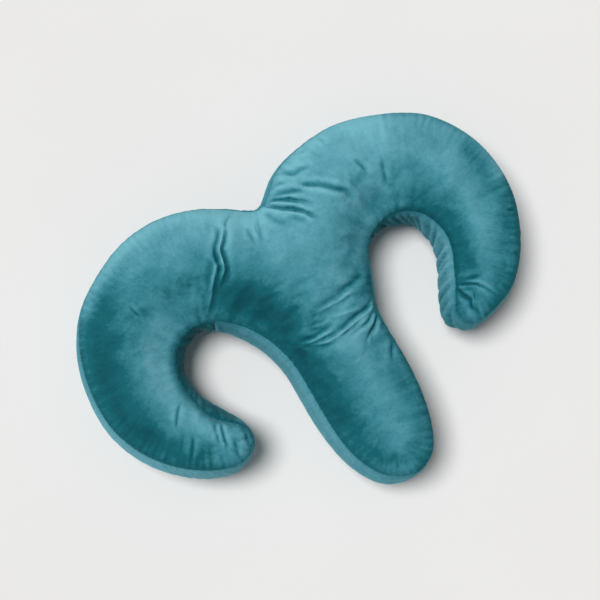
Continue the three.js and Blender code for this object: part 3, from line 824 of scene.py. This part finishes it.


# -------- the velvet's nap, and painted light and shade on it
# Bands where the velvet is painted lighter or darker: partly the pile's brushed patches, partly painted
# light and shade, lighter on slopes that face the light and darker on slopes turned from it and round
# the crooks, where shade falls. Each is a path in plan in millimetres, the band's half width there,
# and its strength.
NAP_AND_PAINTED_SHADE = [
    # dark: the left horn's outer slope and its upper part
    ([(-195, 118), (-214, 88), (-226, 48), (-224, 2), (-204, -42), (-180, -68), (-150, -84)], 21, -0.72),
    ([(-204, 70), (-202, 30), (-204, -12)], 20, -0.3),
    ([(-180, 130), (-160, 110), (-140, 116)], 16, -0.17),
    ([(-182, 80), (-152, 84)], 15, -0.26),
    ([(-112, 66), (-138, 50), (-152, 26), (-157, 0)], 9, -0.32),
    # dark: the middle and the stem's left
    ([(-70, 74), (-50, 56), (-40, 36), (-36, 0), (-32, -50), (-27, -100), (-19, -138), (2, -158)],
     17, -0.68),
    ([(-62, 58), (-44, 40), (-26, 18)], 32, -0.36),
    ([(-90, 60), (-68, 42), (-58, 20)], 10, -0.2),
    ([(-16, -18), (-14, -44), (-12, -84)], 16, -0.3),
    # dark: the right horn's two edges, and the stem's right
    ([(128, 68), (152, 60), (166, 36), (168, 10), (158, -22), (142, -46)], 14, -0.6),
    ([(150, 92), (162, 70), (168, 40)], 18, -0.12),
    ([(186, 50), (178, 20), (162, -10)], 13, -0.2),
    ([(224, 92), (234, 62), (234, 30), (224, -6), (204, -34), (172, -56)], 14, -0.66),
    ([(86, 44), (68, 10), (64, -40), (62, -100), (54, -145), (30, -172)], 14, -0.32),
    ([(50, -84), (46, -116), (42, -148), (30, -168)], 12, -0.3),
    ([(58, 30), (50, 20)], 10, -0.2),
    ([(48, 14), (72, 28)], 9, -0.25),
    ([(158, 20), (152, -8), (146, -22)], 9, -0.22),
    # dark: small patches
    ([(-34, -20), (-36, -60), (-30, -100)], 7, -0.2),
    ([(6, -110), (2, -128)], 12, -0.15),
    ([(-128, 116), (-100, 98), (-76, 104)], 17, -0.24),
    ([(-165, -40), (-160, -50)], 12, -0.25),
    ([(-232, 60), (-232, 0), (-216, -30)], 12, -0.16),
    ([(-50, 88), (-28, 72)], 10, -0.15),
    # light: along the tops of the two horns, and where they meet
    ([(-206, 128), (-186, 150), (-150, 166), (-100, 172), (-50, 158), (-20, 142)], 16, 0.6),
    ([(-130, 140), (-80, 142), (-40, 128)], 20, 0.2),
    ([(-34, 132), (-10, 126)], 20, 0.5),
    ([(30, 162), (60, 172), (104, 180), (140, 164)], 22, 0.55),
    ([(0, 106), (30, 104), (56, 130), (130, 146), (180, 132), (206, 90), (204, 50)], 24, 0.3),
    ([(66, 112), (84, 98), (108, 106)], 17, 0.2),
    ([(0, 78), (24, 66), (30, 48), (22, 22)], 24, 0.22),
    ([(-84, 98), (-66, 92)], 14, 0.05),
    ([(-206, 122), (-180, 148), (-140, 166), (-100, 172), (-64, 164), (-30, 148)], 12, 0.3),
    ([(76, 180), (112, 184), (150, 174)], 12, 0.35),
    ([(236, 112), (241, 84), (240, 62)], 9, 0.9),
    ([(-226, 118), (-241, 88)], 6, 0.25),
    ([(-30, 142), (0, 136), (14, 126)], 12, 0.3),
    ([(72, 64), (74, 56)], 10, 0.2),
    ([(62, 160), (110, 160), (150, 150)], 22, 0.13),
    ([(-84, 142), (-48, 128)], 18, 0.13),
    ([(4, -152), (14, -154)], 10, 0.22),
    # light: along the left horn's inner slope, and down the middle of the stem
    ([(-150, 74), (-170, 44), (-172, 4), (-160, -32), (-146, -58), (-146, -84)], 15, 0.42),
    ([(-172, 30), (-170, 8)], 12, 0.22),
    ([(24, -34), (27, -80), (24, -140)], 15, 0.2),
    ([(196, 26), (196, -14)], 18, 0.16),
    # lighter streaks along the stem's wrinkles
    ([(14, 2), (26, 6)], 7, 0.25),
    ([(10, -30), (24, -24), (38, -14)], 7, 0.35),
    ([(-18, -12), (10, -15)], 6, 0.3),
    ([(164, -36), (174, -42)], 8, 0.35),
]

# The same on the side strip, as painted light and shade: lighter where it faces the light and darker in the
# crooks, where shade falls. A place in plan and a reach along the seam, in millimetres, and the strength.
SIDE_PAINTED_SHADE = [
    ((-235, -40), 110, 0.55),
    ((-60, 4), 50, 0.15),
    ((-48, -90), 90, 0.35),
    ((-147, 18), 34, -0.72),
    ((-118, 51), 26, -0.8),
    ((-122, -38), 30, -0.6),
    ((132, -60), 24, -0.3),
    ((104, 60), 34, -0.6),
    ((150, 0), 50, 0.45),
]

# The side the key light comes from, which the pile is also taken to lean towards.
PAINTED_LIGHT_FROM = np.array([-0.5, 0.8, 0.3])  # painted light: cloth tilted towards it is painted lighter


def painted_fold_shade(points, faces, edges, plan):
    """Painted light and shade on the folds, with the pile opening on ridges and closing in valleys: ridges
    and slopes that face the light lighter, valleys and creases darker, as shade falls in them.
    """
    normals = vertex_normals(points, faces)
    folded = np.where(zones(plan)[0], creases(plan[:, :2]), 0)
    tilt = (normals - averaged(normals, edges, rounds=24)) @ PAINTED_LIGHT_FROM
    rise = ((points - averaged(points, edges, rounds=12)) * normals).sum(1)
    return 0.5 * np.tanh(1.6 * tilt) + 0.4 * np.tanh(rise / (1.2 * MM)) + 0.42 * np.tanh(folded / (2 * MM))


def band(flat, path, half):
    """1 along a path through points in plan, fading to nothing beside it."""
    return bell(nearest_on(flat, laid_out(path, 4 * MM), closed=False)[0], half * MM)


def pile_lie(plan, gap, place, edges):
    """Place along the seam and distance from it, and how firmly they hold: not where two sides meet."""
    apart = np.abs(along_seam(place[edges[:, 0]], place[edges[:, 1]])) > 12 * MM
    parted = np.zeros((len(plan), 1))
    parted[edges[apart]] = 1
    parted = np.minimum(1, 2.5 * averaged(parted, edges, rounds=5)[:, 0])
    return np.c_[place, gap, 1 - parted]


def nap_and_painted_shade(plan, gap, place, fold_shade):
    """How light the velvet looks, about -1 to 1, before the material adds its own unevenness: the pile's
    patches with the painted light and shade of the bands and folds, and a thin line of painted shade in each
    seam's valley.
    """
    level = plan[:, 2]
    front, side, back = zones(plan)
    on_front = sum(strength * band(plan[:, :2], path, half) for path, half, strength in NAP_AND_PAINTED_SHADE)
    brushed = 0.08 * ripple(place, 9 * MM, 71) * np.exp(-gap / (20 * MM))
    on_side = sum(strength * near_spot(place, spot, reach) for spot, reach, strength in SIDE_PAINTED_SHADE)
    tone = np.where(side, on_side, np.where(back, brushed, on_front + brushed))
    from_seam = np.where(side, np.minimum(level, 1 - level) * SIDE_HEIGHT, gap)
    # painted light and shade of the folds, and a thin dark line of painted shade along each seam's valley
    return tone + fold_shade * eased(from_seam / (7 * MM)) - 0.1 * bell(from_seam, 1.6 * MM)


# -------- cutting the skin into its pieces
def cut_piece(name, points, faces):
    """One piece of the skin as its own object, and which of the skin's points it has."""
    used, compact = np.unique(faces, return_inverse=True)
    return new_mesh_object(name, points[used], compact.reshape(faces.shape).tolist()), used


def open_slot(obj, plan, side):
    """Parts a back panel's edge from the zip's line, as far as the zip shows."""
    points = vectors(obj.data.vertices)
    off = np.abs(plan[:, 0] - ZIP_X)
    above, below = plan[:, 1] - SLOT_LOW + 2 * MM, SLOT_HIGH + 2 * MM - plan[:, 1]
    slit = eased(above / (5 * MM)) * eased(below / (5 * MM))
    points[:, 0] += side * SLOT_HALF * slit * np.clip(1 - off / (15 * MM), 0, 1)
    obj.data.vertices.foreach_set("co", points.astype(np.float32).ravel())
    obj.data.update()


def make_cover(velvet):
    points, faces, labels, plan = cover_skin()
    points, gap, place = creased_skin(points, faces, plan)
    edges = edges_of(faces)
    # the tone carries the pile's patches and painted light and shade
    tone = nap_and_painted_shade(plan, gap, place, painted_fold_shade(points, faces, edges, plan))
    lie = pile_lie(plan, gap, place, edges)
    for label, (name, node) in enumerate(COVER_PIECES.items()):
        obj, used = cut_piece(name, points, faces[labels == label])
        set_attribute(obj.data, "tone", "FLOAT", tone[used])
        set_attribute(obj.data, "lie", "FLOAT_VECTOR", lie[used])
        if label in (BACK_LEFT, BACK_RIGHT):
            open_slot(obj, plan[used], -1 if label == BACK_LEFT else 1)
        modified(obj, "SOLIDIFY", thickness=VELVET, offset=INWARDS)
        placed(obj, node, velvet)


# -------- the inner case and its filling
def inner_skin(depth, groove, unevenness):
    """A coarser skin below the cover's outside: its points, faces and plan."""
    down = np.array([0, 8, 16, 25, 34, 42, 50])
    rows = np.array([6, 14]) * MM
    plan, faces, _ = closed_skin(8 * MM, rows, 9 * MM, 1 - down / 50)
    shape, gap, _, _ = smooth_shape(plan, depth, groove)
    shape = levelled(shape, plan, gap, edges_of(faces), rounds=7)
    front, _, back = zones(plan)
    uneven = unevenness * (lumps(plan[:, :2], 30 * MM, 11) - 1.2)
    off_zip = eased((np.abs(plan[:, 0] - ZIP_X) - 14 * MM) / (10 * MM))
    settled = (1.5 + 3.5 * eased(gap / (12 * MM))) * MM  # it lies clear of the cover's folds
    amount = np.where(back, uneven * off_zip, uneven - np.where(front, settled, 0))
    return shape + vertex_normals(shape, faces) * amount[:, None], faces, plan


def make_inner_case(calico):
    points, faces, plan = inner_skin(CASE_DEPTH, CASE_GROOVE, 0.15 * MM)
    upper = plan[faces][:, :, 2].mean(1) > 0.5
    for half, chosen in (("front", upper), ("back", ~upper)):
        obj, _ = cut_piece("case_" + half, points, faces[chosen])
        subdivided(obj)
        modified(obj, "SOLIDIFY", thickness=CASE_CLOTH, offset=INWARDS)
        placed(obj, "insert_case_" + half, calico)


def make_filling(fibre):
    points, faces, _ = inner_skin(FILL_DEPTH, CASE_GROOVE + 1 * MM, 0.7 * MM)
    obj, _ = cut_piece("filling_fibre", points, faces)
    subdivided(obj)
    placed(obj, "fibre_fill", fibre)


# -------- the zip and the label
def ribbon(rows, sides):
    """Quads between rows of points."""
    return [(r * sides + k, r * sides + k + 1, (r + 1) * sides + k + 1, (r + 1) * sides + k)
            for r in range(rows - 1) for k in range(sides - 1)]


def tube(rows, sides):
    """The same with each row closed to a ring, and a cap at both ends."""
    last = sides - 1
    joins = [(r * sides + last, r * sides, (r + 1) * sides, (r + 1) * sides + last) for r in range(rows - 1)]
    ends = [tuple(range(sides))[::-1], tuple(range((rows - 1) * sides, rows * sides))]
    return ribbon(rows, sides) + joins + ends


def swept(path, ring):
    """The points of a ring of offsets (sideways, up) carried along a path."""
    ahead = np.gradient(path, axis=0)
    ahead /= np.linalg.norm(ahead, axis=1)[:, None]
    sideways = np.cross(ahead, [0, 1, 0])
    weak = np.linalg.norm(sideways, axis=1) < 0.2
    sideways[weak] = np.cross(ahead[weak], [0, 0, 1])
    sideways /= np.linalg.norm(sideways, axis=1)[:, None]
    up = np.cross(sideways, ahead)
    points = path[:, None] + ring[None, :, :1] * sideways[:, None] + ring[None, :, 1:] * up[:, None]
    return points.reshape(-1, 3)


def make_tape(side, name, material):
    """A woven tape, a little thicker along the corded edge beside the coil."""
    node = "zip_" + name
    low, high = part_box(node)
    near, far = (high.x, low.x) if side < 0 else (low.x, high.x)
    half = (high.z - low.z) / 2
    middle = (high.z + low.z) / 2
    stations = [0, 0.03, 0.1, 0.16, 0.22, 0.35, 0.5, 0.65, 0.8, 0.94, 1]
    thick = [0.3, 0.8, 1.0, 0.9, 0.6, 0.55, 0.55, 0.55, 0.6, 0.6, 0.3]
    section = [(near + (far - near) * s, half * t) for s, t in zip(stations, thick)]
    section += [(x, -rise) for x, rise in reversed(section)]
    rows = 161
    points = []
    for r in range(rows):
        y = low.y + (high.y - low.y) * r / (rows - 1)
        wave = 0.04 * MM * math.sin(y / (1.3 * MM))
        points += [(x, y, middle + rise + wave) for x, rise in section]
    faces = tube(rows, len(section))
    if side > 0:
        faces = [f[::-1] for f in faces]
    placed(new_mesh_object(name, points, faces), node, material)


def make_coil(side, name, material):
    """The nylon monofilament, wound as a flattened helix. The two sides' turns mesh at the zip's line."""
    node = "zip_" + name
    low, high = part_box(node)
    wire = 0.34 * MM
    pitch = 1.5 * MM
    head = 0.45 * MM  # how far each turn's head reaches past the zip's line
    outer = (high.x - ZIP_X if side > 0 else ZIP_X - low.x) - wire
    centre, half = (outer - head) / 2, (outer + head) / 2
    middle, rise = (low.z + high.z) / 2, (high.z - low.z) / 2 - wire
    turns = int((high.y - low.y - 2 * wire) / pitch)
    steps = 14  # a turn
    start = low.y + wire + (0 if side < 0 else pitch / 2)
    path = []
    for i in range((turns - 1) * steps + 1):
        angle = 2 * math.pi * i / steps
        bulge, lift = (math.copysign(abs(part) ** 0.75, part) for part in (math.cos(angle), math.sin(angle)))
        x = ZIP_X + side * (centre + half * bulge)
        path.append((x, start + pitch * i / steps, middle + rise * lift))
    ring = [(wire * math.cos(a), wire * math.sin(a)) for a in np.linspace(0, 2 * math.pi, 7)[:-1]]
    points = swept(np.array(path), np.array(ring))
    obj = new_mesh_object(name, points, tube(len(path), len(ring)))
    placed(obj, node, material)


def finish_zip_metal(material):
    """The CAD's own metal pieces, with their edges broken."""
    for node in ("zip_slider", "zip_pull", "zip_bottom_stop", "zip_top_stop_left", "zip_top_stop_right"):
        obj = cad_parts[node]
        obj.data.materials.clear()
        obj.data.materials.append(material)
        bevel = obj.modifiers.new("edges", "BEVEL")
        bevel.width = 0.16 * MM
        bevel.segments = 2
        bevel.limit_method = "ANGLE"


def make_label(material):
    """A blank satin label, folded in half and sewn into the lower seam by its two ends."""
    low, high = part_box("care_label")
    middle = np.array([(low.x + high.x) / 2, (low.y + high.y) / 2])
    out = SEAM_OUT[int(round(seam_place(middle) / SEAM_LENGTH * len(SEAM))) % len(SEAM)]
    along = np.array([-out[1], out[0]])
    width = 27 * MM
    spread = 0.42 * MM
    drop = high.z - low.z
    down = [(-spread, 0), (-spread * 1.3, 0.35), (-spread * 1.2, 0.7)]
    profile = [(off, high.z - drop * part) for off, part in down]
    for angle in np.linspace(math.pi, 2 * math.pi, 9):
        profile.append((spread * math.cos(angle), low.z + 1.2 * MM + 1.1 * MM * math.sin(angle)))
    profile += [(-off, high.z - drop * part) for off, part in reversed(down)]
    stations = 25
    points = []
    for s in range(stations):
        across = (s / (stations - 1) - 0.5) * width
        for off, z in profile:
            sway = 0.25 * MM * math.sin(across / (5 * MM)) * (high.z - z) / drop
            points.append((*(middle + out * (off + sway) + along * across), z))
    obj = new_mesh_object("label_blank", points, ribbon(stations, len(profile)))
    modified(obj, "SOLIDIFY", thickness=0.3 * MM, offset=0)
    placed(obj, "care_label", material)


# -------- materials
def new_material(name):
    material = bpy.data.materials.new(name)
    material.use_nodes = True
    tree = material.node_tree
    return material, tree, tree.nodes["Principled BSDF"]


def fed(tree, node, inputs):
    """The node with its inputs filled: each with a value, or linked to another node's output."""
    for name, value in inputs.items():
        if isinstance(value, bpy.types.NodeSocket):
            tree.links.new(value, node.inputs[name])
        else:
            node.inputs[name].default_value = value
    return node


def noise(tree, vector, scale, detail=3.0, distortion=0.0, roughness=0.5):
    inputs = {"Vector": vector, "Scale": scale, "Detail": detail}
    inputs |= {"Distortion": distortion, "Roughness": roughness}
    return fed(tree, tree.nodes.new("ShaderNodeTexNoise"), inputs).outputs["Fac"]


def stretched(tree, vector, scale, turn=0.0):
    inputs = {"Vector": vector, "Scale": scale, "Rotation": (0, 0, turn)}
    return fed(tree, tree.nodes.new("ShaderNodeMapping"), inputs).outputs["Vector"]


def math_node(tree, operation, *values):
    node = tree.nodes.new("ShaderNodeMath")
    node.operation = operation
    return fed(tree, node, dict(enumerate(values))).outputs[0]


def added(tree, base, source, amount):
    """A factor with some of another added to it, which moves it up or down from its middle."""
    off_middle = math_node(tree, "SUBTRACT", source, 0.5)
    return math_node(tree, "ADD", base, math_node(tree, "MULTIPLY", off_middle, amount))


def ramp(tree, factor, stops):
    node = tree.nodes.new("ShaderNodeValToRGB")
    elements = node.color_ramp.elements
    while len(elements) < len(stops):
        elements.new(0.5)
    for element, (place, colour) in zip(elements, stops):
        element.position = place
        element.color = (*colour, 1)
    return fed(tree, node, {"Fac": factor}).outputs["Color"]


def bump(tree, height, distance, strength, **under):
    inputs = {"Height": height, "Distance": distance, "Strength": strength, **under}
    return fed(tree, tree.nodes.new("ShaderNodeBump"), inputs).outputs["Normal"]


def object_space(tree):
    return tree.nodes.new("ShaderNodeTexCoord").outputs["Object"]


def stored(tree, name):
    node = tree.nodes.new("ShaderNodeAttribute")
    node.attribute_name = name
    return node.outputs


def velvet_material():
    """Short polyester pile: brushed into light and dark patches, with painted light and shade carried in its
    tone, and a soft sheen at the edges.
    """
    material, tree, shader = new_material("velvet")
    place = object_space(tree)
    lie = stored(tree, "lie")["Vector"]
    parts = fed(tree, tree.nodes.new("ShaderNodeSeparateXYZ"), {0: lie}).outputs
    brushed = noise(tree, place, 26, 5, 0.6, 0.6)
    streaks = noise(tree, stretched(tree, place, (1.0, 1.6, 1.0), 0.9), 80, 4, 0.8, 0.6)
    mottle = noise(tree, place, 300, 4, 0.2, 0.65)
    strokes = noise(tree, stretched(tree, lie, (1.0, 0.3, 0.0)), 130, 4, 2.2, 0.6)
    strokes = math_node(tree, "MULTIPLY", math_node(tree, "SUBTRACT", strokes, 0.5), parts[2])
    # the tone carries painted light and shade on slopes, folds and crooks, besides the pile's patches
    factor = math_node(tree, "MULTIPLY_ADD", stored(tree, "tone")["Fac"], 0.5, 0.5)
    for source, amount in ((brushed, 0.26), (streaks, 0.25), (mottle, 0.24)):
        factor = added(tree, factor, source, amount)
    factor = math_node(tree, "ADD", factor, math_node(tree, "MULTIPLY", strokes, 0.22))
    colour = ramp(tree, factor, [
        (0.0, (0.0, 0.078, 0.1)),
        (0.25, (0.003, 0.122, 0.152)),
        (0.5, (0.043, 0.234, 0.294)),
        (0.75, (0.106, 0.345, 0.422)),
        (1.0, (0.165, 0.456, 0.538)),
    ])
    normal = bump(tree, noise(tree, place, 330, 3), 0.5 * MM, 0.25)
    normal = bump(tree, strokes, 3 * MM, 0.25, Normal=normal)
    normal = bump(tree, noise(tree, place, 1600, 2), 0.25 * MM, 0.3, Normal=normal)
    fed(tree, shader, {
        "Base Color": colour,
        "Normal": normal,
        "Roughness": 0.85,
        "Specular IOR Level": 0.2,
        "Sheen Weight": 0.3,
        "Sheen Roughness": 0.3,
        "Sheen Tint": (0.22, 0.8, 0.92, 1),
    })
    return material


def weave(tree, place, pitch):
    """Plain weave: two crossed sets of threads a pitch apart."""
    threads = []
    for direction in ("X", "Y"):
        node = tree.nodes.new("ShaderNodeTexWave")
        node.wave_type = "BANDS"
        node.bands_direction = direction
        fed(tree, node, {"Vector": place, "Scale": 0.314 / pitch, "Distortion": 0.4})
        threads.append(node.outputs["Fac"])
    return math_node(tree, "MAXIMUM", *threads)


def cloth_material(name, dark, light, pitch, roughness):
    material, tree, shader = new_material(name)
    place = object_space(tree)
    threads = weave(tree, place, pitch)
    uneven = math_node(tree, "MULTIPLY", noise(tree, place, 90, 4), 0.6)
    factor = math_node(tree, "ADD", math_node(tree, "MULTIPLY", threads, 0.5), uneven)
    fed(tree, shader, {
        "Base Color": ramp(tree, factor, [(0.1, dark), (0.9, light)]),
        "Normal": bump(tree, threads, pitch / 3, 0.6),
        "Roughness": roughness,
        "Sheen Weight": 0.1,
    })
    return material


def fibre_material():
    material, tree, shader = new_material("fibre")
    strands = noise(tree, stretched(tree, object_space(tree), (1, 1, 3)), 700, 6, 2.0, 0.7)
    fed(tree, shader, {
        "Base Color": ramp(tree, strands, [(0.3, (0.78, 0.78, 0.76)), (0.7, (0.93, 0.93, 0.92))]),
        "Normal": bump(tree, strands, 1.5 * MM, 0.8),
        "Roughness": 0.95,
        "Sheen Weight": 0.3,
    })
    return material


def coil_material():
    material, tree, shader = new_material("coil")
    uneven = noise(tree, object_space(tree), 900, 3)
    colour = ramp(tree, uneven, [(0.3, (0.015, 0.09, 0.11)), (0.7, (0.03, 0.14, 0.17))])
    fed(tree, shader, {"Base Color": colour, "Roughness": 0.35})
    return material


def metal_material():
    """Nickel plate, lightly brushed, a little duller where it is handled."""
    material, tree, shader = new_material("zip_metal")
    place = object_space(tree)
    brush = noise(tree, stretched(tree, place, (1, 0.05, 1)), 6000, 3)
    worn = noise(tree, place, 400, 4)
    fed(tree, shader, {
        "Base Color": ramp(tree, worn, [(0.3, (0.5, 0.5, 0.5)), (0.7, (0.68, 0.67, 0.65))]),
        "Normal": bump(tree, brush, 0.02 * MM, 0.4),
        "Roughness": math_node(tree, "ADD", math_node(tree, "MULTIPLY", worn, 0.2), 0.2),
        "Metallic": 1.0,
    })
    return material


# -------- stage, light and camera
def make_floor():
    reach = 14.0
    corners = [(-reach, -reach, 0), (reach, -reach, 0), (reach, reach, 0), (-reach, reach, 0)]
    obj = new_mesh_object("floor", corners, [(0, 1, 2, 3)])
    material, tree, shader = new_material("paper")
    faint = noise(tree, object_space(tree), 3, 2)
    colour = ramp(tree, faint, [(0.3, (0.805, 0.797, 0.79)), (0.7, (0.825, 0.817, 0.81))])
    fed(tree, shader, {"Base Color": colour, "Roughness": 0.9, "Specular IOR Level": 0.1})
    obj.data.materials.append(material)


KEY_DIRECTION = Vector((-0.755, 0.657, 0)).normalized()  # the side that the light comes from
KEY_ELEVATION = math.radians(71)


def make_light():
    sun = bpy.data.lights.new("key", "SUN")
    sun.energy = 2.76
    sun.angle = math.radians(26)
    source = KEY_DIRECTION * math.cos(KEY_ELEVATION) + Vector((0, 0, math.sin(KEY_ELEVATION)))
    new_object("key", sun).rotation_euler = source.to_track_quat("Z", "Y").to_euler()
    world = bpy.data.worlds.new("studio")
    bpy.context.scene.world = world
    world.use_nodes = True
    background = world.node_tree.nodes["Background"]
    fed(world.node_tree, background, {"Color": (1, 1, 1, 1), "Strength": 0.19})


def make_camera():
    """Looks down on the cushion a little from the left, with the stem pointing to the lower right."""
    target = Vector((-0.0029, 0.0355, 0.045))
    towards = Vector((-0.0903, -0.0711, 1))
    height = 1.56  # above the target
    data = bpy.data.cameras.new("camera")
    data.sensor_width = 36
    data.lens = 88.6
    camera = new_object("camera", data)
    back = towards.normalized()
    right = Vector((0.447, 0.894, 0)).cross(back).normalized()
    axes = Matrix((right, back.cross(right), back)).transposed()
    camera.matrix_world = Matrix.Translation(target + height * towards) @ axes.to_4x4()
    bpy.context.scene.camera = camera


# -------- the whole
make_camera()
make_light()
make_floor()
make_cover(velvet_material())
make_inner_case(cloth_material("calico", (0.55, 0.5, 0.4), (0.83, 0.78, 0.66), 0.6 * MM, 0.9))
make_filling(fibre_material())
tape_cloth = cloth_material("zip_tape", (0.02, 0.1, 0.13), (0.05, 0.2, 0.24), 0.7 * MM, 0.8)
coil_plastic = coil_material()
for zip_side, side_name in ((-1, "left"), (1, "right")):
    make_tape(zip_side, "tape_" + side_name, tape_cloth)
    make_coil(zip_side, "coil_" + side_name, coil_plastic)
finish_zip_metal(metal_material())
make_label(cloth_material("label", (0.82, 0.82, 0.8), (0.93, 0.93, 0.91), 0.35 * MM, 0.45))

bpy.context.scene.view_settings.view_transform = "Standard"
